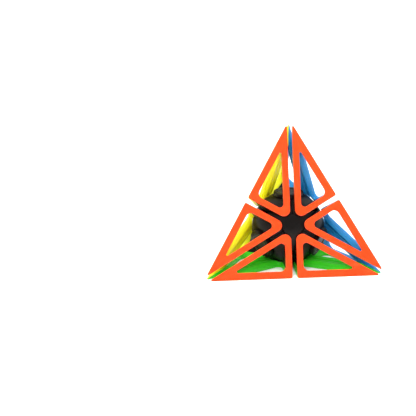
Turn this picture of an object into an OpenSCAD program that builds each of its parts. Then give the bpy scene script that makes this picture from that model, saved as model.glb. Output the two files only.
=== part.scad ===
// Pyramid twisty puzzle with open frames round a ball mechanism.
// Each face is cut by its three medians into six open right-triangle frames. The two frames that
// meet across an edge are one wing. Three wings, a hub and a plug make each of four corner layers.

/* [Pyramid] */
// Length of each edge of the pyramid
edge_length = 98; // [94:1:104]
// Gap between neighbouring frames, across a median line
frame_gap = 2.7; // [2.5:0.1:3]

/* [Frames] */
// Width of a frame's bar beside the pyramid's edge
edge_bar = 4; // [3.6:0.1:4.3]
// Width of a frame's bar from the edge's middle to the face's centre
short_bar = 3.3; // [3.1:0.1:3.6]
// Width of a frame's bar from the corner to the face's centre
long_bar = 3.3; // [3.1:0.1:3.7]
// Depth of a frame's walls below the face
wall_depth = 4; // [3.2:0.1:4.2]
// Thickness of the outer skin over the open channel
skin = 1.3; // [1:0.1:1.6]
// Thickness of the two walls beside the open channel
channel_wall = 1; // [0.8:0.1:1.1]
// Corner radius of the outline at the face's centre
face_corner_r = 3.3; // [3:0.1:3.8]

/* [Ball] */
// Radius of the ball
ball_r = 19.5; // [19:0.1:19.6]
// Thickness of the ball's face caps and feet
shell = 3.4; // [2.8:0.1:3.8]
// Angle from a corner axis to the edge of the face caps
cap_edge_angle = 53.6; // [53.4:0.1:53.8]
// Angle from a corner axis to the rim of the feet
foot_rim_angle = 52.3; // [51.8:0.1:52.5]
// Clearance between the frames and the ball
ball_clear = 0.7; // [0.6:0.05:0.8]

/* [Hubs] */
// Radius of a corner hub's head
hub_head_r = 8; // [7.5:0.1:8.2]
// Radius of a corner hub's sleeve
hub_sleeve_r = 5; // [4.8:0.1:5.2]
// Radius of the screw shanks
screw_r = 1.5; // [1.3:0.1:1.6]

/* [Hidden] */
// Corners, in the order of the list below; each face is named by the corner opposite it
TOP = 0;
LEFT = 1;
RIGHT = 2;
BACK = 3;
ORANGE = BACK;
YELLOW = RIGHT;
BLUE = LEFT;
GREEN = TOP;
FACE_COLOURS = ["#32b41e", "#2896e1", "#ebe114", "#ff5a22"];
BLACK = "#1e1c1c";
STEEL = "#b8bcc2";

half = edge_length / 2;
inradius = edge_length * sqrt(6) / 12;
face_reach = edge_length * sqrt(3) / 6;
corner_points = [
    [0, 0, 3 * inradius],
    [-half, -face_reach, -inradius],
    [half, -face_reach, -inradius],
    [0, 2 * face_reach, -inradius]
];
// Angle from a corner axis to the middle of an edge, and half the angle between two faces
edge_angle = acos(1 / sqrt(3));
half_dihedral = asin(1 / sqrt(3));

tip_r = 0.5;
mid_r = 1;
hole_tip_r = 0.7;
hole_mid_r = 2.9;
hole_face_r = 2;
arc_steps = 8;
tip_block = 14;
sharp_r = 0.01;
through = 1;

cap_limit_angle = 47;
cap_post_r = 3.6;
cap_post_base = 8;
cap_pin_r = 2.2;
cap_pin_end = 13.8;
cap_pin_clear = 0.05;

stem_near = 2;
stem_t = 2.6;
stem_w = 12;
stem_root = 17;
stem_clear = 0.05;
foot_seam_angle = 1.8;
foot_lip_r = 5.4;
foot_lip_low = 14;
foot_lip_top = 17.2;
hub_gap = 0.2;

core_r = 7;
arm_r = 4.2;
arm_end = 11;
hub_base = 11.3;
hub_head_base = 17.4;
hub_top = 19.9;
hub_floor = 13;
counterbore_r = 3.7;
plug_r = 6.2;
plug_t = 1.4;
plug_clear = 0.1;
screw_clear = 0.06;
screw_start = 3;
screw_head_r = 3.2;
screw_head_base = 16.5;
screw_head_top = 18.2;
washer_t = 0.4;
spring_r = 2.6;
wire_r = 0.32;
spring_turns = 4;
spring_steps = 12;
wire_sides = 6;

function unit(v) = v / norm(v);
function columns(x, y, z, at) = [
    [x[0], y[0], z[0], at[0]],
    [x[1], y[1], z[1], at[1]],
    [x[2], y[2], z[2], at[2]],
    [0, 0, 0, 1]
];

// Axes with Z out along a direction and X turned towards another point
module along(direction, towards) {
    z = unit(direction);
    x = unit(towards - (towards * z) * z);
    multmatrix(columns(x, cross(z, x), z, [0, 0, 0])) children();
}

module along_corner(v, w) {
    along(corner_points[v], corner_points[w]) children();
}

// Axes of one face's frame: X from corner v along the edge to w, Y into the face, Z out of it
module on_face(v, w, opposite) {
    x = unit(corner_points[w] - corner_points[v]);
    z = -unit(corner_points[opposite]);
    middle = (corner_points[v] + corner_points[w]) / 2;
    y = unit(-corner_points[opposite] / 3 - middle);
    multmatrix(columns(x, y, z, corner_points[v])) children();
}

// The frame's right triangle has its 30 degree tip at the corner, its right angle at the edge's
// middle and its 60 degree angle at the face's centre. The insets e, s and l are from its edge
// side, short side and long side, and r holds the three corner radii.
function tip_point(e, l) = [(e + l / cos(30)) / tan(30), e];
function mid_point(e, s) = [half - s, e];
function face_point(s, l) = [half - s, (half - s) * tan(30) - l / cos(30)];
function arc(c, r, from, to) =
    [for (i = [0 : arc_steps]) c + r * [cos(from + (to - from) * i / arc_steps),
                                        sin(from + (to - from) * i / arc_steps)]];
function outline(e, s, l, r) = concat(
    arc(tip_point(e + r[0], l + r[0]), r[0], 120, 270),
    arc(mid_point(e + r[1], s + r[1]), r[1], 270, 360),
    arc(face_point(s + r[2], l + r[2]), r[2], 0, 120)
);

module frame_outline() {
    polygon(outline(0, frame_gap / 2, frame_gap / 2, [tip_r, mid_r, face_corner_r]));
}

module frame_hole(grow) {
    polygon(outline(
        edge_bar - grow, frame_gap / 2 + short_bar - grow, frame_gap / 2 + long_bar - grow,
        [hole_tip_r + grow, hole_mid_r + grow, hole_face_r + grow]
    ));
}

// Open channel under the short and long bars, closed off beside the edge and at the tip
module frame_channel() {
    difference() {
        polygon(outline(
            edge_bar + channel_wall, frame_gap / 2 + channel_wall, frame_gap / 2 + channel_wall,
            [sharp_r, sharp_r, face_corner_r - channel_wall]
        ));
        frame_hole(channel_wall);
        rotate(30) translate([-through, -half]) square([tip_block + through, edge_length]);
    }
}

// One open frame: a skin with walls and a channel behind it, mitred to its twin across the edge
// and hollowed underneath to clear the ball
module wing_frame(v, w, opposite) {
    color(FACE_COLOURS[opposite])
    on_face(v, w, opposite)
    difference() {
        translate([0, 0, -wall_depth]) linear_extrude(wall_depth) frame_outline();
        translate([0, 0, -wall_depth - through]) linear_extrude(wall_depth + 2 * through) frame_hole(0);
        translate([0, 0, -wall_depth - through]) linear_extrude(wall_depth + through - skin)
            frame_channel();
        rotate([-half_dihedral, 0, 0]) translate([-half, -half, -half])
            cube([3 * half, 2 * half, half]);
        translate([half, face_reach, -inradius]) sphere(ball_r + ball_clear, $fn = 96);
    }
}

// Flat stem that stands beside the middle of the edge and carries the two frames
module stem(grow) {
    stem_top = (inradius - wall_depth) / cos(edge_angle);
    stem_shoulder = stem_top - stem_w / 2 / tan(half_dihedral);
    side = stem_w / 2 + grow;
    rotate([0, edge_angle, 0]) translate([-stem_near - stem_t - grow, 0, 0]) rotate([90, 0, 90])
        linear_extrude(stem_t + 2 * grow) polygon([
            [-side, stem_root - grow],
            [side, stem_root - grow],
            [side, stem_shoulder],
            [0, stem_top],
            [-side, stem_shoulder]
        ]);
}

// The wing's foot: a segment of the ball's shell with a lip under the hub's head, and a slot that
// the stem is fitted in
module wing_foot(v, w) {
    sweep = 120 - foot_seam_angle;
    color(BLACK)
    along_corner(v, w) {
        difference() {
            intersection() {
                sphere(ball_r, $fn = 96);
                rotate(-sweep / 2) rotate_extrude(angle = sweep, $fn = 96)
                    polygon([
                        [hub_head_r + hub_gap, (hub_head_r + hub_gap) / tan(foot_rim_angle)],
                        [ball_r * tan(foot_rim_angle), ball_r],
                        [hub_head_r + hub_gap, ball_r]
                    ]);
            }
            sphere(ball_r - shell, $fn = 96);
            stem(stem_clear);
        }
        rotate(-sweep / 2) rotate_extrude(angle = sweep, $fn = 96)
            translate([foot_lip_r, foot_lip_low])
            square([hub_head_r + 2 * hub_gap - foot_lip_r, foot_lip_top - foot_lip_low]);
        stem(0);
    }
}

// Three-sided cap of the ball's shell at a face's centre, on a post that presses on the core's pin.
// Its three hollow sides keep clear of the circles that the corner layers' feet turn in.
module face_cap(opposite) {
    reach = 2 * ball_r;
    color(BLACK)
    along(-corner_points[opposite], corner_points[(opposite + 1) % 4]) {
        difference() {
            intersection() {
                sphere(ball_r, $fn = 96);
                cylinder(h = reach, r1 = 0, r2 = reach * tan(cap_limit_angle), $fn = 96);
            }
            sphere(ball_r - shell, $fn = 96);
            for (side = [0 : 120 : 240])
                rotate([0, 2 * half_dihedral, side])
                    cylinder(h = reach, r1 = 0, r2 = reach * tan(cap_edge_angle), $fn = 96);
        }
        difference() {
            translate([0, 0, cap_post_base])
                cylinder(h = ball_r - shell / 2 - cap_post_base, r = cap_post_r, $fn = 48);
            translate([0, 0, cap_post_base - through])
                cylinder(h = cap_pin_end + 2 * through - cap_post_base, r = cap_pin_r + cap_pin_clear,
                         $fn = 48);
        }
    }
}

// Ball core with an arm to each corner hub and a pin to each face cap
module core() {
    color(BLACK)
    difference() {
        union() {
            sphere(core_r, $fn = 64);
            for (v = [0 : 3]) {
                along_corner(v, (v + 1) % 4) cylinder(h = arm_end, r = arm_r, $fn = 48);
                along(-corner_points[v], corner_points[(v + 1) % 4])
                    cylinder(h = cap_pin_end, r = cap_pin_r, $fn = 48);
            }
        }
        for (v = [0 : 3])
            along_corner(v, (v + 1) % 4) translate([0, 0, screw_start])
                cylinder(h = arm_end, r = screw_r + screw_clear, $fn = 32);
    }
}

// Corner hub: a sleeve on the screw with a flat round head that holds down the three feet
module hub(v) {
    color(BLACK)
    along_corner(v, (v + 1) % 4)
    difference() {
        union() {
            translate([0, 0, hub_base])
                cylinder(h = hub_head_base + hub_gap - hub_base, r = hub_sleeve_r, $fn = 64);
            translate([0, 0, hub_head_base])
                cylinder(h = hub_top - hub_head_base, r = hub_head_r, $fn = 96);
        }
        translate([0, 0, hub_base - through])
            cylinder(h = hub_top, r = screw_r + screw_clear, $fn = 32);
        translate([0, 0, hub_floor]) cylinder(h = hub_top, r = counterbore_r, $fn = 48);
        translate([0, 0, hub_top - plug_t]) cylinder(h = hub_top, r = plug_r + plug_clear, $fn = 64);
    }
}

// Plug that covers the screw in the hub's head
module plug(v) {
    color(BLACK)
    along_corner(v, (v + 1) % 4) translate([0, 0, hub_top - plug_t])
        cylinder(h = plug_t, r = plug_r, $fn = 64);
}

module screws() {
    color(STEEL)
    for (v = [0 : 3])
        along_corner(v, (v + 1) % 4) {
            translate([0, 0, screw_start + through])
                cylinder(h = screw_head_base - screw_start, r = screw_r, $fn = 32);
            difference() {
                translate([0, 0, screw_head_base])
                    cylinder(h = screw_head_top - screw_head_base, r = screw_head_r, $fn = 48);
                translate([0, 0, screw_head_top - through]) cylinder(h = 2 * through, r = screw_r, $fn = 6);
            }
        }
}

module washers() {
    color(STEEL)
    for (v = [0 : 3])
        along_corner(v, (v + 1) % 4) translate([0, 0, screw_head_base - washer_t])
            difference() {
                cylinder(h = washer_t, r = screw_head_r, $fn = 48);
                translate([0, 0, -through])
                    cylinder(h = washer_t + 2 * through, r = screw_r + screw_clear, $fn = 32);
            }
}

// Coil spring between the hub's floor and the washer
module spring() {
    rings = spring_turns * spring_steps;
    low = hub_floor + wire_r;
    rise = screw_head_base - washer_t - wire_r - low;
    points = [
        for (i = [0 : rings], j = [0 : wire_sides - 1])
            let (turn = 360 * i / spring_steps, side = 360 * j / wire_sides,
                 r = spring_r + wire_r * cos(side))
            [r * cos(turn), r * sin(turn), low + rise * i / rings + wire_r * sin(side)]
    ];
    sides = [
        for (i = [0 : rings - 1], j = [0 : wire_sides - 1])
            let (k = (j + 1) % wire_sides, at = i * wire_sides)
            [at + j, at + wire_sides + j, at + wire_sides + k, at + k]
    ];
    ends = [
        [for (j = [0 : wire_sides - 1]) j],
        [for (j = [wire_sides - 1 : -1 : 0]) rings * wire_sides + j]
    ];
    polyhedron(points, concat(sides, ends));
}

module springs() {
    color(STEEL)
    for (v = [0 : 3])
        along_corner(v, (v + 1) % 4) spring();
}

core();
screws();
springs();
washers();
face_cap(ORANGE);  // orange_face_cap
face_cap(YELLOW);  // yellow_face_cap
face_cap(BLUE);  // blue_face_cap
face_cap(GREEN);  // green_face_cap
hub(TOP);  // top_hub
hub(LEFT);  // left_hub
hub(RIGHT);  // right_hub
hub(BACK);  // back_hub
plug(TOP);  // top_plug
plug(LEFT);  // left_plug
plug(RIGHT);  // right_plug
plug(BACK);  // back_plug
wing_foot(TOP, LEFT);  // top_to_left_foot
wing_foot(TOP, RIGHT);  // top_to_right_foot
wing_foot(TOP, BACK);  // top_to_back_foot
wing_foot(LEFT, TOP);  // left_to_top_foot
wing_foot(LEFT, RIGHT);  // left_to_right_foot
wing_foot(LEFT, BACK);  // left_to_back_foot
wing_foot(RIGHT, TOP);  // right_to_top_foot
wing_foot(RIGHT, LEFT);  // right_to_left_foot
wing_foot(RIGHT, BACK);  // right_to_back_foot
wing_foot(BACK, TOP);  // back_to_top_foot
wing_foot(BACK, LEFT);  // back_to_left_foot
wing_foot(BACK, RIGHT);  // back_to_right_foot
wing_frame(TOP, LEFT, ORANGE);  // top_to_left_orange_frame
wing_frame(TOP, LEFT, YELLOW);  // top_to_left_yellow_frame
wing_frame(TOP, RIGHT, ORANGE);  // top_to_right_orange_frame
wing_frame(TOP, RIGHT, BLUE);  // top_to_right_blue_frame
wing_frame(TOP, BACK, YELLOW);  // top_to_back_yellow_frame
wing_frame(TOP, BACK, BLUE);  // top_to_back_blue_frame
wing_frame(LEFT, TOP, ORANGE);  // left_to_top_orange_frame
wing_frame(LEFT, TOP, YELLOW);  // left_to_top_yellow_frame
wing_frame(LEFT, RIGHT, ORANGE);  // left_to_right_orange_frame
wing_frame(LEFT, RIGHT, GREEN);  // left_to_right_green_frame
wing_frame(LEFT, BACK, YELLOW);  // left_to_back_yellow_frame
wing_frame(LEFT, BACK, GREEN);  // left_to_back_green_frame
wing_frame(RIGHT, TOP, ORANGE);  // right_to_top_orange_frame
wing_frame(RIGHT, TOP, BLUE);  // right_to_top_blue_frame
wing_frame(RIGHT, LEFT, ORANGE);  // right_to_left_orange_frame
wing_frame(RIGHT, LEFT, GREEN);  // right_to_left_green_frame
wing_frame(RIGHT, BACK, BLUE);  // right_to_back_blue_frame
wing_frame(RIGHT, BACK, GREEN);  // right_to_back_green_frame
wing_frame(BACK, TOP, YELLOW);  // back_to_top_yellow_frame
wing_frame(BACK, TOP, BLUE);  // back_to_top_blue_frame
wing_frame(BACK, LEFT, YELLOW);  // back_to_left_yellow_frame
wing_frame(BACK, LEFT, GREEN);  // back_to_left_green_frame
wing_frame(BACK, RIGHT, BLUE);  // back_to_right_blue_frame
wing_frame(BACK, RIGHT, GREEN);  // back_to_right_green_frame
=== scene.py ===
"""Pyramid twisty puzzle: four corner layers of open two-colour frames round a black ball."""

import math

import bmesh
import bpy
from mathutils import Matrix, Vector


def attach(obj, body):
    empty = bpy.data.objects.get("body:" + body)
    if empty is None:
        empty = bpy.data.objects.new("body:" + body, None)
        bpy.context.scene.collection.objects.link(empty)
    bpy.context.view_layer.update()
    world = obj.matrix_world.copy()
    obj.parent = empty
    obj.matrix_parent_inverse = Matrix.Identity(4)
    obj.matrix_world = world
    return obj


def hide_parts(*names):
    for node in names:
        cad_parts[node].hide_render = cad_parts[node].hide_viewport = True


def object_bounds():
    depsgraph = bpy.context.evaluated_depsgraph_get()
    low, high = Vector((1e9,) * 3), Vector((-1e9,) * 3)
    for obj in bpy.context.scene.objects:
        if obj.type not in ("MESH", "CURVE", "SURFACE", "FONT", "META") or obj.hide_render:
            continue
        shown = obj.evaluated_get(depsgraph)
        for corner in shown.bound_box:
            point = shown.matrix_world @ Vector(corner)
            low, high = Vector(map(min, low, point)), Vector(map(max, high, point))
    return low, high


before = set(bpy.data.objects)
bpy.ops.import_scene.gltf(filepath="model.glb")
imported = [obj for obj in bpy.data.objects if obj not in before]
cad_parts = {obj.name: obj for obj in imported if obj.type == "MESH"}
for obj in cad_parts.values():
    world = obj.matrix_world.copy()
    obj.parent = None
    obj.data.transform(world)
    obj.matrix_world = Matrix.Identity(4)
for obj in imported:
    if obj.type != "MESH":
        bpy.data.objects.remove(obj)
cad_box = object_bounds()

# ---------------------------------------------------------------- sizes, in millimetres

MM = 0.001
INRADIUS = -cad_box[0].z / MM          # the base lies this far below the ball's centre
EDGE = INRADIUS * 12 / math.sqrt(6)
HALF = EDGE / 2
FACE_REACH = EDGE * math.sqrt(3) / 6   # from an edge's middle to the face's centre
EDGE_ANGLE = math.acos(1 / math.sqrt(3))      # corner axis to the middle of an edge
HALF_DIHEDRAL = math.asin(1 / math.sqrt(3))   # half the angle between two faces

CORNERS = {
    "top": Vector((0, 0, 3 * INRADIUS)),
    "left": Vector((-HALF, -FACE_REACH, -INRADIUS)),
    "right": Vector((HALF, -FACE_REACH, -INRADIUS)),
    "back": Vector((0, 2 * FACE_REACH, -INRADIUS)),
}
# Each face's colour, by the corner opposite it
FACES = {"orange": "back", "yellow": "right", "blue": "left", "green": "top"}

GAP = 2.7
EDGE_BAR, SHORT_BAR, LONG_BAR = 4.0, 3.3, 3.3
WALL_DEPTH, SKIN, CHANNEL_WALL = 4.0, 1.3, 1.0
OUTLINE_R = (0.5, 1.0, 3.3)            # at the tip, the edge's middle and the face's centre
HOLE_R = (0.7, 2.9, 2.0)
EDGE_ROUND = 0.28                      # rounding along the pyramid's edge, shared by two frames
MITRE_GAP = 0.04                       # fine seam between the two colours
FACE_BEVEL, RIM_BEVEL = 0.3, 0.2
SKIN_STEP, STEP_DEPTH = 0.18, 1.7      # the walls stand back a little under the skin
SUPPORT = 0.25                         # flat strip beside each bevel, which keeps the faces flat
WALL_DRAFT = 0.05                      # lean of the channel's flanks
SHARPEST = 0.05                        # smallest radius left where a corner is inset
CHANNEL_END = 0.3
# Along the long side at the tip, the channel runs as far as the third of these cuts
TIP_CUTS, TIP_OPEN = (0.15, 0.3, 0.45, 0.47, 0.6, 0.7, 0.8, 0.9), 3
TIP_STEPS, TIP_EDGE_STEPS, FILLET_STEPS = 10, 9, 4

BALL_R, SHELL, BALL_CLEAR = 19.5, 3.4, 0.7
CAP_EDGE_ANGLE, CAP_LIMIT_ANGLE = math.radians(53.6), math.radians(47)
FOOT_RIM_ANGLE, FOOT_SEAM_ANGLE = math.radians(52.3), math.radians(1.8)
CAP_ROUND, FOOT_ROUND = 0.18, 0.15
POST_R, POST_BORE_R, POST_BASE = 3.6, 2.25, 8.0
LIP_R, LIP_LOW, LIP_TOP = 5.4, 14.0, 17.2
STEM_W, STEM_T, STEM_NEAR, STEM_ROOT, STEM_ROUND = 12.0, 2.6, 2.0, 17.0, 0.25
HUB_HEAD_R, HUB_SLEEVE_R, HUB_GAP = 8.0, 5.0, 0.2
HUB_BASE, HUB_HEAD_BASE, HUB_TOP, HUB_FLOOR = 11.3, 17.4, 19.9, 13.0
PLUG_R, PLUG_T, PLUG_PLAY, PLUG_RIM, DISH_SLOPE, DISH_DEPTH = 6.2, 1.4, 0.1, 0.9, 0.3, 0.25
COUNTERBORE_R, BORE_R = 3.7, 1.56
SCREW_R, SCREW_END, SCREW_HEAD_R = 1.5, 4.0, 3.2
SCREW_HEAD_BASE, SCREW_HEAD_TOP, HEX_APOTHEM, HEX_DEPTH, HEX_BEVEL = 16.5, 18.2, 1.25, 1.0, 0.1
WASHER_T, WASHER_PLAY, SPRING_R, WIRE_R, SPRING_TURNS = 0.4, 0.06, 2.6, 0.32, 4


# ---------------------------------------------------------------- mesh helpers

def arc(centre, radius, start, end, steps):
    """Points of an arc, from start to end in degrees, both included."""
    angles = [math.radians(start + (end - start) * i / steps) for i in range(steps + 1)]
    return [Vector((centre[0] + radius * math.cos(a), centre[1] + radius * math.sin(a))) for a in angles]


def line(a, b, cuts):
    """Points strictly between a and b at the given fractions."""
    return [a.lerp(b, f) for f in cuts]


def even(count):
    return [i / count for i in range(1, count)]


def axes(z, towards):
    """Matrix with Z along z and X turned towards a point."""
    z = z.normalized()
    x = (towards - towards.dot(z) * z).normalized()
    return Matrix((x, z.cross(x), z)).transposed().to_4x4()


def shade(mesh, sharp):
    """Smooth shading, but for edges sharper than this many degrees."""
    for polygon in mesh.polygons:
        polygon.use_smooth = True
    mesh.set_sharp_from_angle(angle=math.radians(sharp))


def solid(name, parts):
    """A closed mesh in metres from parts of (points, faces, matrix)."""
    bm = bmesh.new()
    for points, faces, matrix in parts:
        verts = [bm.verts.new((matrix @ Vector(p)) * MM) for p in points]
        for face in faces:
            bm.faces.new([verts[i] for i in face])
    bmesh.ops.remove_doubles(bm, verts=bm.verts, dist=0.004 * MM)
    bmesh.ops.dissolve_degenerate(bm, edges=bm.edges, dist=0.002 * MM)
    bmesh.ops.recalc_face_normals(bm, faces=bm.faces)
    mesh = bpy.data.meshes.new(name)
    bm.to_mesh(mesh)
    bm.free()
    shade(mesh, 50)
    piece = bpy.data.objects.new(name, mesh)
    bpy.context.scene.collection.objects.link(piece)
    return piece


def band(rings, closed_across=False):
    """Faces between neighbouring closed rings of points of one length, as (points, faces)."""
    count = len(rings[0])
    points = [p for ring in rings for p in ring]
    faces = []
    for i in range(len(rings) if closed_across else len(rings) - 1):
        k = (i + 1) % len(rings)
        for j in range(count):
            m = (j + 1) % count
            faces.append((i * count + j, i * count + m, k * count + m, k * count + j))
    return points, faces


def fillet(corners):
    """Outline of (x, y, radius) corners with each corner rounded."""
    out = []
    for i, (x, y, radius) in enumerate(corners):
        here = Vector((x, y))
        if radius == 0:
            out.append(here)
            continue
        before = (Vector(corners[i - 1][:2]) - here).normalized()
        after = (Vector(corners[(i + 1) % len(corners)][:2]) - here).normalized()
        half_angle = before.angle(after) / 2
        centre = here + (before + after).normalized() * radius / math.sin(half_angle)
        first = here + before * radius / math.tan(half_angle) - centre
        last = here + after * radius / math.tan(half_angle) - centre
        turn = first.angle_signed(last)
        for k in range(FILLET_STEPS + 1):
            angle = -turn * k / FILLET_STEPS
            out.append(centre + Matrix.Rotation(angle, 2) @ first)
    return out


def swung(profile, angle):
    """Points of a (radius, height) profile, swung about Z by an angle."""
    return [Vector((p.x * math.cos(angle), p.x * math.sin(angle), p.y)) for p in profile]


def turned(profile, matrix, steps=96):
    """A solid of revolution about Z, from a closed outline of (radius, height)."""
    rings = [swung(profile, 2 * math.pi * i / steps) for i in range(steps)]
    return *band(rings, closed_across=True), matrix


# ---------------------------------------------------------------- wing frames

HOLE_S, HOLE_L = GAP / 2 + SHORT_BAR, GAP / 2 + LONG_BAR
TAN30, COS30 = math.tan(math.radians(30)), math.cos(math.radians(30))
# How far the rounding takes a frame's outline back from the pyramid's edge
EDGE_LOSS = EDGE_ROUND * (1 / math.tan(HALF_DIHEDRAL) - math.cos(HALF_DIHEDRAL))


def tip_point(e, l):
    return Vector(((e + l / COS30) / TAN30, e))


def mid_point(e, s):
    return Vector((HALF - s, e))


def face_point(s, l):
    return Vector((HALF - s, (HALF - s) * TAN30 - l / COS30))


TIP_CENTRE = tip_point(EDGE_BAR + HOLE_R[0], HOLE_L + HOLE_R[0])
LONG_NORMAL = Vector((-0.5, COS30))


def frame_loop(e, s, l, radii, outside):
    """Outline at insets e, s and l from the edge, short and long sides. A frame's right triangle
    has its tip at the corner, its right angle at the edge's middle and its last corner at the
    face's centre. Every loop has the same count of points, so loops join into square bars.
    Also says of each point whether it lies beside the open channel."""
    mid_arc = arc(mid_point(e + radii[1], s + radii[1]), radii[1], 270, 360, 6)
    face_arc = arc(face_point(s + radii[2], l + radii[2]), radii[2], 0, 120, 12)
    if outside:
        tip_arc = arc(tip_point(e + radii[0], l + radii[0]), radii[0], 120, 270, TIP_STEPS)
        long_end = TIP_CENTRE + LONG_NORMAL * (HOLE_R[0] + HOLE_L - l)
        edge_end = Vector((TIP_CENTRE.x, e))
        tip = [long_end] + line(long_end, tip_arc[0], TIP_CUTS) + tip_arc
        tip += line(tip_arc[-1], edge_end, even(TIP_EDGE_STEPS)) + [edge_end]
    else:
        steps = len(TIP_CUTS) + TIP_STEPS + TIP_EDGE_STEPS + 1
        tip = arc(TIP_CENTRE, radii[0], 120, 270, steps)
    edge_side = line(tip[-1], mid_arc[0], even(14))
    start = CHANNEL_END / (mid_arc[-1] - face_arc[0]).length
    short_side = line(mid_arc[-1], face_arc[0], [start] + [start + (1 - start) * f for f in even(9)])
    long_side = line(face_arc[-1], tip[0], even(17))
    channel = [True] * (TIP_OPEN + 1) + [False] * (len(tip + edge_side + mid_arc) - TIP_OPEN - 1)
    channel += [True] * len(short_side + face_arc + long_side)
    return list(zip(tip + edge_side + mid_arc + short_side + face_arc + long_side, channel))


def underside(x, y):
    """Height of a frame's lowest surface: the wall's depth, the mitre and the ball's clearance."""
    height = max(-WALL_DEPTH, MITRE_GAP - y * math.tan(HALF_DIHEDRAL))
    across = math.hypot(x - HALF, y - FACE_REACH)
    clear = BALL_R + BALL_CLEAR
    if across < clear:
        height = max(height, math.sqrt(clear ** 2 - across ** 2) - INRADIUS)
    return height


def topside(y):
    """Height of the outer surface, which rounds off towards the pyramid's edge."""
    tangent = EDGE_ROUND / math.tan(HALF_DIHEDRAL)
    if y >= tangent:
        return 0.0
    return math.sqrt(max(0, EDGE_ROUND ** 2 - (tangent - y) ** 2)) - EDGE_ROUND


def quarter(radius, steps=4):
    """Inset and drop of the points round a quarter bevel, from its side up to its flat."""
    angles = [math.radians(90 * i / steps) for i in range(steps + 1)]
    return [(radius * (1 - math.cos(a)), radius * (math.sin(a) - 1)) for a in angles]


def wing_frame(corner, end, colour):
    """One open frame: skin, stepped walls and an open channel, mitred to its twin at the edge."""
    sections = []

    def outer(inset, height):
        radii = [max(r - inset, SHARPEST) for r in OUTLINE_R]
        side = GAP / 2 + inset
        sections.append((frame_loop(EDGE_LOSS + inset, side, side, radii, True), height))

    def inner(outset, height):
        radii = [r + outset for r in HOLE_R]
        loop = frame_loop(EDGE_BAR - outset, HOLE_S - outset, HOLE_L - outset, radii, False)
        sections.append((loop, height))

    def at(level):
        return lambda low, channel: level

    def step(level):
        return lambda low, channel: max(low, level)

    def rim(low, channel):
        return low + min(RIM_BEVEL, max(0, -STEP_DEPTH - RIM_BEVEL - low))

    def bottom(low, channel):
        return low

    def wall_rounding(low, channel):
        return low + RIM_BEVEL / 2 if channel else low

    def roof(low, channel):
        return max(low, -SKIN) if channel else low

    for inset, drop in quarter(FACE_BEVEL):
        outer(inset, at(drop))
    outer(FACE_BEVEL + SUPPORT, at(0))
    outer(FACE_BEVEL + 2 * SUPPORT, at(0))
    inner(FACE_BEVEL + 2 * SUPPORT, at(0))
    inner(FACE_BEVEL + SUPPORT, at(0))
    for inset, drop in reversed(quarter(FACE_BEVEL)):
        inner(inset, at(drop))
    inner(0, step(-STEP_DEPTH))
    inner(SKIN_STEP, step(-STEP_DEPTH - SKIN_STEP / 2))
    inner(SKIN_STEP, rim)
    inner(SKIN_STEP + RIM_BEVEL, bottom)
    inner(CHANNEL_WALL - RIM_BEVEL / 2, bottom)
    inner(CHANNEL_WALL, wall_rounding)
    inner(CHANNEL_WALL + WALL_DRAFT, roof)
    outer(CHANNEL_WALL + WALL_DRAFT, roof)
    outer(CHANNEL_WALL, wall_rounding)
    outer(CHANNEL_WALL - RIM_BEVEL / 2, bottom)
    outer(SKIN_STEP + RIM_BEVEL, bottom)
    outer(SKIN_STEP, rim)
    outer(SKIN_STEP, step(-STEP_DEPTH - SKIN_STEP / 2))
    outer(0, step(-STEP_DEPTH))

    rings = []
    for loop, height in sections:
        ring = []
        for p, channel in loop:
            low = underside(p.x, p.y)
            z = max(low, min(height(low, channel), topside(p.y)))
            ring.append(Vector((p.x, p.y, z)))
        rings.append(ring)

    v, w, opposite = CORNERS[corner], CORNERS[end], CORNERS[FACES[colour]]
    x, z = (w - v).normalized(), -opposite.normalized()
    y = (-opposite / 3 - (v + w) / 2).normalized()
    matrix = Matrix.Translation(v) @ Matrix((x, y, z)).transposed().to_4x4()
    surface = band(rings, closed_across=True)
    return solid(f"{corner}_{end}_{colour}_open_frame", [(*surface, matrix)])


# ---------------------------------------------------------------- ball

def cap_reach(turn):
    """Angle from a face cap's centre to its edge, in the direction turn about the centre."""
    reach = CAP_LIMIT_ANGLE
    for side in range(3):
        a = math.cos(2 * HALF_DIHEDRAL)
        b = math.sin(2 * HALF_DIHEDRAL) * math.cos(turn - math.radians(120 * side))
        ratio = math.cos(CAP_EDGE_ANGLE) / math.hypot(a, b)
        if b > 0 and ratio < 1:
            reach = min(reach, math.atan2(b, a) - math.acos(ratio))
    return reach


def face_cap(colour):
    """Three-sided cap of the ball with rounded edges, and the post under it."""
    steps, inner_r = 240, BALL_R - SHELL
    rows = [(f / 14, 0, BALL_R) for f in range(1, 13)]
    rows += [(1, -drop, BALL_R - inset) for inset, drop in quarter(CAP_ROUND)]
    rows += [(1, 0, inner_r + RIM_BEVEL), (1, RIM_BEVEL, inner_r)]
    rows += [(f / 4, 0, inner_r) for f in (3, 2, 1)]
    rings = []
    for share, inset, radius in rows:
        ring = []
        for i in range(steps):
            turn = 2 * math.pi * i / steps
            reach = cap_reach(turn) * share - inset / BALL_R
            across = radius * math.sin(reach)
            ring.append(
                Vector((across * math.cos(turn), across * math.sin(turn), radius * math.cos(reach)))
            )
        rings.append(ring)
    points, faces = band(rings)
    for height, first in ((BALL_R, 0), (inner_r, (len(rings) - 1) * steps)):
        points.append(Vector((0, 0, height)))
        faces += [(len(points) - 1, first + j, first + (j + 1) % steps) for j in range(steps)]
    towards = next(c for name, c in CORNERS.items() if name != FACES[colour])
    matrix = axes(-CORNERS[FACES[colour]], towards)
    post_top = inner_r + SHELL / 2
    post = fillet([
        (POST_BORE_R, POST_BASE, 0.2), (POST_R, POST_BASE, 0.3), (POST_R, post_top, 0),
        (POST_BORE_R, post_top, 0),
    ])
    return solid(f"{colour}_cap_moulding", [(points, faces, matrix), turned(post, matrix, 48)])


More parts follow.
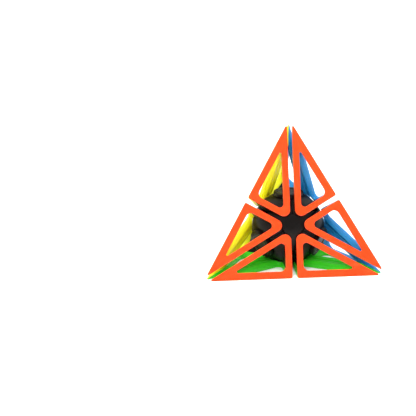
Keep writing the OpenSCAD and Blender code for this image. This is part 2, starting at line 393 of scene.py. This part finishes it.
def foot_section():
    """Section of a foot: a stretch of the ball's shell with a lip under the hub's head."""
    start, inner_r = HUB_HEAD_R + HUB_GAP, BALL_R - SHELL
    lip_end = start + HUB_GAP
    first, second = math.asin(start / BALL_R), math.asin(lip_end / inner_r)
    outside = [first + (FOOT_RIM_ANGLE - first) * i / 14 for i in range(15)]
    inside = [FOOT_RIM_ANGLE + (second - FOOT_RIM_ANGLE) * i / 8 for i in range(9)]
    corners = [(BALL_R * math.sin(a), BALL_R * math.cos(a), 0) for a in outside]
    corners[0] = (*corners[0][:2], 0.25)
    corners[-1] = (*corners[-1][:2], 0.35)
    corners += [(inner_r * math.sin(a), inner_r * math.cos(a), 0) for a in inside]
    corners += [(LIP_R, LIP_LOW, 0.2), (LIP_R, LIP_TOP, 0.2), (start, LIP_TOP, 0)]
    return fillet(corners)


def capped(rings):
    """Band through the rings, closed at both ends, as (points, faces)."""
    points, faces = band(rings)
    count = len(rings[0])
    return points, faces + [tuple(range(count)), tuple(range(len(points) - count, len(points)))]


def foot(corner, end):
    """A wing's foot: its segment of the ball and the flat stem that carries the two frames."""
    section = foot_section()
    middle = sum(section, Vector((0, 0))) / len(section)
    size = max((p - middle).length for p in section)
    sweep = math.radians(120) - FOOT_SEAM_ANGLE
    ends = [(inset / middle.x, -drop / size) for inset, drop in quarter(FOOT_ROUND, 3)]
    first = ends[-1][0]
    spread = ends + [(first + (sweep - 2 * first) * f, 0) for f in even(30)]
    spread += [(sweep - turn, shrink) for turn, shrink in reversed(ends)]
    rings = []
    for turn, shrink in spread:
        rings.append(swung([p.lerp(middle, shrink) for p in section], turn - sweep / 2))
    matrix = axes(CORNERS[corner], CORNERS[end])

    top = (INRADIUS - WALL_DEPTH) / math.cos(EDGE_ANGLE)
    shoulder = top - STEM_W / 2 / math.tan(HALF_DIHEDRAL)
    outline = fillet([
        (-STEM_W / 2, STEM_ROOT, 0.3), (STEM_W / 2, STEM_ROOT, 0.3), (STEM_W / 2, shoulder, 0.5),
        (0, top, 0.4), (-STEM_W / 2, shoulder, 0.5),
    ])
    centre = Vector((0, (STEM_ROOT + top) / 2))
    rounding = quarter(STEM_ROUND, 3)
    levels = [(inset, -drop) for inset, drop in rounding]
    levels += [(STEM_T - inset, -drop) for inset, drop in reversed(rounding)]
    stem = []
    for height, inset in levels:
        ring = [p.lerp(centre, 2 * inset / STEM_W) for p in outline]
        stem.append([Vector((height - STEM_NEAR - STEM_T, p.x, p.y)) for p in ring])
    stem_matrix = matrix @ Matrix.Rotation(EDGE_ANGLE, 4, "Y")
    return solid(
        f"{corner}_{end}_foot_moulding", [(*capped(rings), matrix), (*capped(stem), stem_matrix)]
    )


# ---------------------------------------------------------------- parts on the corner arms

def add(tree, kind, settings=None, links=None):
    """Adds a node with its settings, and links its inputs from other nodes' outputs. Inputs that
    share a name are given by number."""
    node = tree.nodes.new(kind)
    for key, value in (settings or {}).items():
        if isinstance(key, int) or key in node.inputs:
            node.inputs[key].default_value = value
        else:
            setattr(node, key, value)
    for key, source in (links or {}).items():
        tree.links.new(source, node.inputs[key])
    return node


def arm_tree(name, sizes, draw):
    """Geometry nodes that set a part, drawn about Z, on as many corner axes as there are arms."""
    tree = bpy.data.node_groups.new(name, "GeometryNodeTree")
    tree.interface.new_socket("Geometry", in_out="OUTPUT", socket_type="NodeSocketGeometry")
    tree.interface.new_socket("Geometry", in_out="INPUT", socket_type="NodeSocketGeometry")
    for size in sizes:
        tree.interface.new_socket(size, in_out="INPUT", socket_type="NodeSocketFloat")
    tree.interface.new_socket("Arms", in_out="INPUT", socket_type="NodeSocketInt")
    for k in range(4):
        tree.interface.new_socket(f"Axis {k}", in_out="INPUT", socket_type="NodeSocketVector")
    tree.interface.new_socket("Material", in_out="INPUT", socket_type="NodeSocketMaterial")
    given = add(tree, "NodeGroupInput").outputs
    part = draw(tree, given)
    index = add(tree, "GeometryNodeInputIndex").outputs["Index"]
    axis = given["Axis 0"]
    for k in range(1, 4):
        compare = {"data_type": "INT", "operation": "EQUAL", 3: k}
        this_arm = add(tree, "FunctionNodeCompare", compare, {2: index})
        axis = add(tree, "GeometryNodeSwitch", {"input_type": "VECTOR"}, {
            "Switch": this_arm.outputs[0], "False": axis, "True": given[f"Axis {k}"],
        }).outputs["Output"]
    turn = add(tree, "FunctionNodeAlignRotationToVector", {"axis": "Z"}, {"Vector": axis})
    points = add(tree, "GeometryNodePoints", {}, {"Count": given["Arms"]})
    placed = add(tree, "GeometryNodeInstanceOnPoints", {}, {
        "Points": points.outputs["Points"], "Instance": part, "Rotation": turn.outputs["Rotation"],
    })
    real = add(tree, "GeometryNodeRealizeInstances", {}, {"Geometry": placed.outputs["Instances"]})
    coated = add(tree, "GeometryNodeSetMaterial", {}, {
        "Geometry": real.outputs["Geometry"], "Material": given["Material"],
    })
    add(tree, "NodeGroupOutput", {}, {"Geometry": coated.outputs["Geometry"]})
    return tree


def own_mesh(tree, given):
    return given["Geometry"]


def coil(tree, given):
    """A wire wound in a helix, with its ends closed."""
    path = add(tree, "GeometryNodeCurveSpiral", {"Resolution": 40}, {
        "Rotations": given["Turns"], "Start Radius": given["Coil radius"],
        "End Radius": given["Coil radius"], "Height": given["Height"],
    })
    wire = add(tree, "GeometryNodeCurvePrimitiveCircle", {"Resolution": 12}, {
        "Radius": given["Wire radius"],
    })
    mesh = add(tree, "GeometryNodeCurveToMesh", {"Fill Caps": True}, {
        "Curve": path.outputs["Curve"], "Profile Curve": wire.outputs["Curve"],
    })
    lift = add(tree, "ShaderNodeCombineXYZ", {}, {"Z": given["Bottom"]})
    return add(tree, "GeometryNodeTransform", {}, {
        "Geometry": mesh.outputs["Mesh"], "Translation": lift.outputs["Vector"],
    }).outputs["Geometry"]


def flat_ring(tree, given):
    """A flat ring with rounded edges, its section carried round a circle."""
    path = add(tree, "GeometryNodeCurvePrimitiveCircle", {"Resolution": 72}, {
        "Radius": given["Ring radius"],
    })
    section = add(tree, "GeometryNodeCurvePrimitiveQuadrilateral", {}, {
        "Width": given["Width"], "Height": given["Thickness"],
    })
    rounding = {"mode": "POLY", "Count": 3, "Radius": 0.08 * MM}
    round_section = add(tree, "GeometryNodeFilletCurve", rounding, {"Curve": section.outputs["Curve"]})
    mesh = add(tree, "GeometryNodeCurveToMesh", {}, {
        "Curve": path.outputs["Curve"], "Profile Curve": round_section.outputs["Curve"],
    })
    lift = add(tree, "ShaderNodeCombineXYZ", {}, {"Z": given["Middle"]})
    return add(tree, "GeometryNodeTransform", {}, {
        "Geometry": mesh.outputs["Mesh"], "Translation": lift.outputs["Vector"],
    }).outputs["Geometry"]


def on_arms(name, tree, corners, material, sizes=None, base=None):
    """A plain mesh piece from one of the trees, on these corners' axes. Sizes are in mm."""
    piece = base or bpy.data.objects.new(name, bpy.data.meshes.new(name))
    piece.name = name
    if base is None:
        bpy.context.scene.collection.objects.link(piece)
    values = {k: v * MM for k, v in (sizes or {}).items()}
    values.update({"Arms": len(corners), "Material": material, "Turns": float(SPRING_TURNS)})
    values.update({f"Axis {k}": CORNERS[c].normalized() for k, c in enumerate(corners)})
    modifier = piece.modifiers.new(name, "NODES")
    modifier.node_group = tree
    for item in tree.interface.items_tree:
        if item.in_out == "INPUT" and item.name in values:
            modifier[item.identifier] = values[item.name]
    seen = piece.evaluated_get(bpy.context.evaluated_depsgraph_get())
    mesh = bpy.data.meshes.new_from_object(seen)
    piece.modifiers.remove(modifier)
    piece.data = mesh
    shade(mesh, 40)
    return piece


def hub_section():
    """Section of a corner hub: a sleeve with a flat round head, counterbored for the spring."""
    seat = HUB_TOP - PLUG_T
    return fillet([
        (BORE_R, HUB_BASE, 0.1), (HUB_SLEEVE_R, HUB_BASE, 0.3), (HUB_SLEEVE_R, HUB_HEAD_BASE, 0.2),
        (HUB_HEAD_R, HUB_HEAD_BASE, 0.2), (HUB_HEAD_R, HUB_TOP, 0.5),
        (PLUG_R + PLUG_PLAY, HUB_TOP, 0.15), (PLUG_R + PLUG_PLAY, seat, 0),
        (COUNTERBORE_R, seat, 0.1), (COUNTERBORE_R, HUB_FLOOR, 0.2), (BORE_R, HUB_FLOOR, 0.1),
    ])


def plug_section():
    """Section of the cover over the screw: a thin disc with a shallow dish inside a raised rim."""
    low, dish = HUB_TOP - PLUG_T, HUB_TOP - DISH_DEPTH
    return fillet([
        (0, low, 0), (PLUG_R, low, 0.1), (PLUG_R, HUB_TOP, 0.25), (PLUG_R - PLUG_RIM, HUB_TOP, 0.15),
        (PLUG_R - PLUG_RIM - DISH_SLOPE, dish, 0.3), (0, dish, 0),
    ])


def screw():
    """A screw about Z, with a flat round head and a hex socket."""
    steps = 72
    floor = SCREW_HEAD_TOP - HEX_DEPTH
    outside = fillet([
        (0, SCREW_END, 0), (SCREW_R, SCREW_END, 0.3), (SCREW_R, SCREW_HEAD_BASE, 0),
        (SCREW_HEAD_R, SCREW_HEAD_BASE, 0.15), (SCREW_HEAD_R, SCREW_HEAD_TOP, 0.35),
        (HEX_APOTHEM * 1.35, SCREW_HEAD_TOP, 0),
    ])
    levels = [(p.x, p.y, False) for p in outside]
    levels += [
        (HEX_APOTHEM + HEX_BEVEL, SCREW_HEAD_TOP, True), (HEX_APOTHEM, SCREW_HEAD_TOP - HEX_BEVEL, True),
        (HEX_APOTHEM, floor, True), (0, floor, False),
    ]
    rings = []
    for r, z, is_hex in levels:
        ring = []
        for i in range(steps):
            a = 2 * math.pi * i / steps
            off = math.radians((math.degrees(a) + 30) % 60 - 30)
            reach = r / math.cos(off) if is_hex else r
            ring.append(Vector((reach * math.cos(a), reach * math.sin(a), z)))
        rings.append(ring)
    return solid("screw", [(*band(rings), Matrix())])


# ---------------------------------------------------------------- materials

def linear(hex_colour):
    """An sRGB hex colour as linear RGBA."""
    out = []
    for i in (1, 3, 5):
        c = int(hex_colour[i:i + 2], 16) / 255
        out.append(c / 12.92 if c <= 0.04045 else ((c + 0.055) / 1.055) ** 2.4)
    return (*out, 1.0)


def per_mm(size):
    """Texture scale of a pattern whose features are this many millimetres apart."""
    return 1 / (size * MM)


def new_material(name):
    material = bpy.data.materials.new(name)
    material.use_nodes = True
    tree = material.node_tree
    tree.nodes.clear()
    return material, tree, add(tree, "ShaderNodeTexCoord").outputs["Object"]


def bumps(tree, layers):
    """One normal from several (height, depth in mm) layers, from the coarsest to the finest."""
    normal = None
    for height, depth in layers:
        links = {"Height": height} if normal is None else {"Height": height, "Normal": normal}
        bump = add(tree, "ShaderNodeBump", {"Strength": 1.0, "Distance": depth * MM}, links)
        normal = bump.outputs["Normal"]
    return normal


def moulded_abs(name, colour, deep, wear_and_highlight_colour, roughness, glow):
    """Injection-moulded ABS with a satin tool finish. Slow flow marks shift its colour a little,
    its fine grain dulls the reflections, its faces sink a hair's breadth between the walls, and
    handling has left a few hairline scratches. Its convex edges are painted paler, partly as rubbed
    wear and partly as a painted highlight. The walls are thin enough for some light to come
    through, and glow says how far red, green and blue light travel."""
    material, tree, place = new_material(name)
    flow = add(tree, "ShaderNodeTexNoise", {
        "Scale": per_mm(16), "Detail": 3.0, "Roughness": 0.55, "Distortion": 0.8,
    }, {"Vector": place})
    mottle = add(tree, "ShaderNodeTexNoise", {"Scale": per_mm(1.6), "Detail": 2.0}, {"Vector": place})
    # Real grain is about 0.05 mm, too fine to show, so it is drawn at 0.3 mm
    grain = add(tree, "ShaderNodeTexNoise", {"Scale": per_mm(0.3), "Detail": 2.0}, {"Vector": place})
    sink = add(tree, "ShaderNodeTexNoise", {"Scale": per_mm(11), "Detail": 1.0}, {"Vector": place})
    along = add(tree, "ShaderNodeMapping", {"Rotation": (0.4, 0.7, 0.5), "Scale": (1.0, 22.0, 22.0)}, {
        "Vector": place,
    })
    hairs = add(tree, "ShaderNodeTexNoise", {"Scale": per_mm(9), "Detail": 3.0}, {
        "Vector": along.outputs["Vector"],
    })
    scratch = add(tree, "ShaderNodeMapRange", {"From Min": 0.66, "From Max": 0.74}, {
        "Value": hairs.outputs["Fac"],
    })
    shift = add(tree, "ShaderNodeMapRange", {
        "From Min": 0.35, "From Max": 0.65, "To Min": 0.0, "To Max": 1.0,
    }, {"Value": flow.outputs["Fac"]})
    body = add(tree, "ShaderNodeMixRGB", {"Color1": linear(colour), "Color2": linear(deep)}, {
        "Fac": shift.outputs["Result"],
    })
    # Convex edges are painted paler: partly rubbed wear, partly a painted highlight along them
    ridge = add(tree, "ShaderNodeMapRange", {"From Min": 0.52, "From Max": 0.62, "To Max": 0.35}, {
        "Value": add(tree, "ShaderNodeNewGeometry").outputs["Pointiness"],
    })
    wear_and_highlight_mask = add(tree, "ShaderNodeMath", {"operation": "MULTIPLY"}, {
        0: ridge.outputs["Result"], 1: mottle.outputs["Fac"],
    })
    tint = add(tree, "ShaderNodeMixRGB", {"Color2": linear(wear_and_highlight_colour)}, {
        "Fac": wear_and_highlight_mask.outputs["Value"], "Color1": body.outputs["Color"],
    })
    gloss = add(tree, "ShaderNodeMapRange", {
        "From Min": 0.3, "From Max": 0.7, "To Min": roughness - 0.05, "To Max": roughness + 0.07,
    }, {"Value": mottle.outputs["Fac"]})
    dulled = add(tree, "ShaderNodeMath", {"operation": "MULTIPLY_ADD", 1: 0.12}, {
        0: scratch.outputs["Result"], 2: gloss.outputs["Result"],
    })
    normal = bumps(tree, [
        (sink.outputs["Fac"], 0.12), (scratch.outputs["Result"], -0.01), (grain.outputs["Fac"], 0.012),
    ])
    shader = add(tree, "ShaderNodeBsdfPrincipled", {
        "IOR": 1.53, "Specular IOR Level": 0.42,
        "Subsurface Weight": 0.7, "Subsurface Radius": glow, "Subsurface Scale": 1.5 * MM,
    }, {
        "Base Color": tint.outputs["Color"], "Roughness": dulled.outputs["Value"], "Normal": normal,
    })
    add(tree, "ShaderNodeOutputMaterial", {}, {"Surface": shader.outputs["BSDF"]})
    return material


def polished_black_abs(name, colour, haze_colour, roughness):
    """Black ABS from a polished tool, dulled to a satin by handling: deep black with soft
    reflections, broken by hairline scratches, faint smears of finger grease, a little dust and a
    very slight unevenness of the surface."""
    material, tree, place = new_material(name)
    smear = add(tree, "ShaderNodeTexNoise", {
        "Scale": per_mm(7), "Detail": 4.0, "Roughness": 0.6, "Distortion": 1.5,
    }, {"Vector": place})
    wave = add(tree, "ShaderNodeTexNoise", {"Scale": per_mm(9), "Detail": 1.0}, {"Vector": place})
    along = add(tree, "ShaderNodeMapping", {"Rotation": (0.3, 0.9, 0.2), "Scale": (1.0, 26.0, 26.0)}, {
        "Vector": place,
    })
    hairs = add(tree, "ShaderNodeTexNoise", {"Scale": per_mm(8), "Detail": 3.0}, {
        "Vector": along.outputs["Vector"],
    })
    scratch = add(tree, "ShaderNodeMapRange", {"From Min": 0.64, "From Max": 0.72}, {
        "Value": hairs.outputs["Fac"],
    })
    dust = add(tree, "ShaderNodeTexNoise", {"Scale": per_mm(0.5), "Detail": 2.0}, {"Vector": place})
    specks = add(tree, "ShaderNodeMapRange", {"From Min": 0.66, "From Max": 0.72, "To Max": 0.5}, {
        "Value": dust.outputs["Fac"],
    })
    tint = add(tree, "ShaderNodeMixRGB", {"Color1": linear(colour), "Color2": linear(haze_colour)}, {
        "Fac": specks.outputs["Result"],
    })
    gloss = add(tree, "ShaderNodeMapRange", {
        "From Min": 0.35, "From Max": 0.7, "To Min": roughness - 0.04, "To Max": roughness + 0.1,
    }, {"Value": smear.outputs["Fac"]})
    dulled = add(tree, "ShaderNodeMath", {"operation": "MULTIPLY_ADD", 1: 0.15}, {
        0: scratch.outputs["Result"], 2: gloss.outputs["Result"],
    })
    normal = bumps(tree, [(wave.outputs["Fac"], 0.05), (scratch.outputs["Result"], -0.004)])
    shader = add(tree, "ShaderNodeBsdfPrincipled", {"IOR": 1.54, "Specular IOR Level": 0.2}, {
        "Base Color": tint.outputs["Color"], "Roughness": dulled.outputs["Value"], "Normal": normal,
    })
    add(tree, "ShaderNodeOutputMaterial", {}, {"Surface": shader.outputs["BSDF"]})
    return material


def moulded_nylon(name, colour, worn_colour):
    """Moulded black nylon: a dull, slightly greasy sheen with a coarse grain, greyed where it wears."""
    material, tree, place = new_material(name)
    patch = add(tree, "ShaderNodeTexNoise", {"Scale": per_mm(4), "Detail": 4.0}, {"Vector": place})
    grain = add(tree, "ShaderNodeTexNoise", {"Scale": per_mm(0.25), "Detail": 2.0}, {"Vector": place})
    share = add(tree, "ShaderNodeMapRange", {"From Min": 0.45, "From Max": 0.75, "To Max": 0.4}, {
        "Value": patch.outputs["Fac"],
    })
    tint = add(tree, "ShaderNodeMixRGB", {"Color1": linear(colour), "Color2": linear(worn_colour)}, {
        "Fac": share.outputs["Result"],
    })
    gloss = add(tree, "ShaderNodeMapRange", {"To Min": 0.42, "To Max": 0.62}, {"Value": patch.outputs["Fac"]})
    shader = add(tree, "ShaderNodeBsdfPrincipled", {"IOR": 1.53}, {
        "Base Color": tint.outputs["Color"], "Roughness": gloss.outputs["Result"],
        "Normal": bumps(tree, [(grain.outputs["Fac"], 0.02)]),
    })
    add(tree, "ShaderNodeOutputMaterial", {}, {"Surface": shader.outputs["BSDF"]})
    return material


def zinc_plated_steel(name, colour, blue_colour):
    """Bright zinc on steel: a soft metal gleam with a bluish bloom and fine crystals."""
    material, tree, place = new_material(name)
    bloom = add(tree, "ShaderNodeTexNoise", {"Scale": per_mm(2.2), "Detail": 3.0}, {"Vector": place})
    crystal = add(tree, "ShaderNodeTexVoronoi", {"Scale": per_mm(0.3)}, {"Vector": place})
    tint = add(tree, "ShaderNodeMixRGB", {"Color1": linear(colour), "Color2": linear(blue_colour)}, {
        "Fac": bloom.outputs["Fac"],
    })
    gloss = add(tree, "ShaderNodeMapRange", {"From Max": 0.8, "To Min": 0.24, "To Max": 0.42}, {
        "Value": crystal.outputs["Distance"],
    })
    shader = add(tree, "ShaderNodeBsdfPrincipled", {"Metallic": 1.0}, {
        "Base Color": tint.outputs["Color"], "Roughness": gloss.outputs["Result"],
        "Normal": bumps(tree, [(crystal.outputs["Distance"], 0.006)]),
    })
    add(tree, "ShaderNodeOutputMaterial", {}, {"Surface": shader.outputs["BSDF"]})
    return material


def white_paper(name):
    """Seamless white studio paper, matt with a faint tooth."""
    material, tree, place = new_material(name)
    tooth = add(tree, "ShaderNodeTexNoise", {"Scale": per_mm(3), "Detail": 3.0}, {"Vector": place})
    tint = add(tree, "ShaderNodeMixRGB", {"Color1": linear("#f6f6f5"), "Color2": linear("#fcfcfb")}, {
        "Fac": tooth.outputs["Fac"],
    })
    shader = add(tree, "ShaderNodeBsdfDiffuse", {"Roughness": 0.6}, {
        "Color": tint.outputs["Color"], "Normal": bumps(tree, [(tooth.outputs["Fac"], 0.05)]),
    })
    add(tree, "ShaderNodeOutputMaterial", {}, {"Surface": shader.outputs["BSDF"]})
    return material


# Coloured finishes: base colour, flow-mark colour, paler edge colour (rubbed wear plus painted highlight),
# roughness, glow
FINISHES = {
    "orange_plastic": moulded_abs("satin_orange_abs", "#d8491a", "#d34415", "#e8703f", 0.34, (1.6, 0.5, 0.2)),
    "yellow_plastic": moulded_abs("satin_yellow_abs", "#f6f01a", "#efe812", "#f9f56a", 0.32, (2.6, 2.4, 0.3)),
    "blue_plastic": moulded_abs("satin_blue_abs", "#2189c2", "#1b7cb3", "#4fa9d8", 0.32, (0.2, 0.5, 0.8)),
    "green_plastic": moulded_abs("satin_green_abs", "#45dc2b", "#3dd024", "#7ee46e", 0.34, (0.5, 1.5, 0.4)),
    "black_plastic": polished_black_abs("polished_black_abs", "#0d0a09", "#1f1a18", 0.38),
    "core_plastic": moulded_nylon("moulded_black_nylon", "#161616", "#3b3b3a"),
    "steel": zinc_plated_steel("zinc_plated_steel", "#c8ccd0", "#b4bfca"),
}


# ---------------------------------------------------------------- assembly

def fit(piece, body, slot, *nodes):
    """Gives a piece its finish, sets it on a body and has it stand for its CAD nodes."""
    piece.data.materials.clear()
    piece.data.materials.append(FINISHES[slot])
    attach(piece, body)
    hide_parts(*nodes)


for corner in CORNERS:
    body = f"{corner}_layer"
    for end in CORNERS:
        if end == corner:
            continue
        fit(foot(corner, end), body, "black_plastic", f"{corner}_to_{end}_foot")
        for colour, opposite in FACES.items():
            if opposite not in (corner, end):
                node = f"{corner}_to_{end}_{colour}_frame"
                fit(wing_frame(corner, end, colour), body, f"{colour}_plastic", node)

for colour in FACES:
    fit(face_cap(colour), "ball", "black_plastic", f"{colour}_face_cap")

moulded_on_arm = arm_tree("Moulded part on a corner arm", [], own_mesh)
coil_sizes = ["Turns", "Coil radius", "Wire radius", "Bottom", "Height"]
wound_on_arm = arm_tree("Coil spring on the corner arms", coil_sizes, coil)
ring_sizes = ["Ring radius", "Width", "Thickness", "Middle"]
ring_on_arm = arm_tree("Washer on the corner arms", ring_sizes, flat_ring)
black = FINISHES["black_plastic"]
for corner in CORNERS:
    for kind, section in (("hub", hub_section()), ("plug", plug_section())):
        base = solid(kind, [turned(section, Matrix(), 128)])
        piece = on_arms(f"{corner}_{kind}_moulding", moulded_on_arm, [corner], black, base=base)
        fit(piece, f"{corner}_layer", "black_plastic", f"{corner}_{kind}")

steel = FINISHES["steel"]
screws = on_arms("arm_screws", moulded_on_arm, list(CORNERS), steel, base=screw())
fit(screws, "ball", "steel", "screws")
spring_low = HUB_FLOOR + WIRE_R
springs = on_arms("coil_springs", wound_on_arm, list(CORNERS), steel, {
    "Coil radius": SPRING_R, "Wire radius": WIRE_R, "Bottom": spring_low,
    "Height": SCREW_HEAD_BASE - WASHER_T - WIRE_R - spring_low,
})
fit(springs, "ball", "steel", "springs")
washer_bore = SCREW_R + WASHER_PLAY
washers = on_arms("thrust_washers", ring_on_arm, list(CORNERS), steel, {
    "Ring radius": (SCREW_HEAD_R + washer_bore) / 2, "Width": SCREW_HEAD_R - washer_bore,
    "Thickness": WASHER_T, "Middle": SCREW_HEAD_BASE - WASHER_T / 2,
})
fit(washers, "ball", "steel", "washers")

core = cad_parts["core"]
core.data.materials.clear()
core.data.materials.append(FINISHES["core_plastic"])


# ---------------------------------------------------------------- floor, light and camera

def stage_plane(size, height):
    bm = bmesh.new()
    bmesh.ops.create_grid(bm, x_segments=1, y_segments=1, size=size / 2)
    mesh = bpy.data.meshes.new("floor")
    bm.to_mesh(mesh)
    bm.free()
    plane = bpy.data.objects.new("floor", mesh)
    bpy.context.scene.collection.objects.link(plane)
    mesh.transform(Matrix.Translation((0, 0, height)))
    mesh.materials.append(white_paper("seamless_white_paper"))


def soft_box(name, position, size, power):
    light = bpy.data.lights.new(name, "AREA")
    light.shape, light.size, light.size_y, light.energy = "RECTANGLE", size[0], size[1], power
    lamp = bpy.data.objects.new(name, light)
    lamp.location = position
    lamp.visible_glossy = False        # a wide tent of white cloth hides its shape in reflections
    lamp.rotation_euler = (-Vector(position)).to_track_quat("-Z", "Y").to_euler()
    bpy.context.scene.collection.objects.link(lamp)


# Strength overhead and at the sides, and the share of it that is left on the dark side
ROOM_LIGHT, SIDE_LIGHT, DARK_SIDE = 1.7, 0.45, 0.1


def studio_sky():
    """White room light, strongest overhead, with the darker side of the room in front of the puzzle."""
    world = bpy.data.worlds.new("studio_room")
    world.use_nodes = True
    tree = world.node_tree
    tree.nodes.clear()
    direction = add(tree, "ShaderNodeTexCoord").outputs["Generated"]
    front = Vector((0.1, -0.95, 0.28)).normalized()
    facing = add(tree, "ShaderNodeVectorMath", {"operation": "DOT_PRODUCT", 1: front}, {0: direction})
    share = add(tree, "ShaderNodeMapRange", {
        "interpolation_type": "SMOOTHSTEP", "From Min": 0.45, "From Max": 0.92,
        "To Min": 1.0, "To Max": DARK_SIDE,
    }, {"Value": facing.outputs["Value"]})
    height = add(tree, "ShaderNodeSeparateXYZ", {}, {"Vector": direction}).outputs["Z"]
    room = add(tree, "ShaderNodeMapRange", {
        "interpolation_type": "SMOOTHSTEP", "From Min": 0.1, "From Max": 0.75,
        "To Min": SIDE_LIGHT, "To Max": ROOM_LIGHT,
    }, {"Value": height})
    strength = add(tree, "ShaderNodeMath", {"operation": "MULTIPLY"}, {
        0: share.outputs["Result"], 1: room.outputs["Result"],
    })
    background = add(tree, "ShaderNodeBackground", {}, {"Strength": strength.outputs["Value"]})
    add(tree, "ShaderNodeOutputWorld", {}, {"Surface": background.outputs["Background"]})
    bpy.context.scene.world = world


studio_sky()
stage_plane(8.0, -(INRADIUS + 0.05) * MM)
soft_box("front_softbox", (-0.3, -1.6, 1.1), (1.4, 1.2), 26)
soft_box("left_softbox", (-1.7, -0.3, 1.0), (1.2, 1.0), 20)
soft_box("right_softbox", (1.7, -0.3, 1.0), (1.2, 1.0), 10)
soft_box("top_softbox", (0.1, -0.6, 1.9), (1.2, 1.2), 30)

# The camera looks level-headed down on the front face. Angles are in degrees: it stands a little
# round to the left, and the ball lies right of and below the middle of its view.
CAMERA_DISTANCE = 9 * EDGE
TURN, TILT, ROLL = 5.72, 17.06, -0.16
BALL_RIGHT, BALL_BELOW = 2.805, 0.642
LENS_MM, SENSOR_MM = 141.2, 36.0
view = (
    Matrix.Rotation(math.radians(ROLL), 3, "Y")
    @ Matrix.Rotation(math.radians(TILT), 3, "X")
    @ Matrix.Rotation(math.radians(TURN), 3, "Z")
)
right, forward, up = view
offset = right * math.tan(math.radians(BALL_RIGHT)) - up * math.tan(math.radians(BALL_BELOW)) + forward
camera_data = bpy.data.cameras.new("camera")
camera_data.lens, camera_data.sensor_width = LENS_MM, SENSOR_MM
camera_data.clip_start, camera_data.clip_end = 0.01, 50
camera = bpy.data.objects.new("camera", camera_data)
camera.matrix_world = (
    Matrix.Translation(-offset * CAMERA_DISTANCE * MM)
    @ Matrix((right, up, -forward)).transposed().to_4x4()
)
bpy.context.scene.collection.objects.link(camera)
bpy.context.scene.camera = camera
bpy.context.scene.view_settings.view_transform = "Standard"
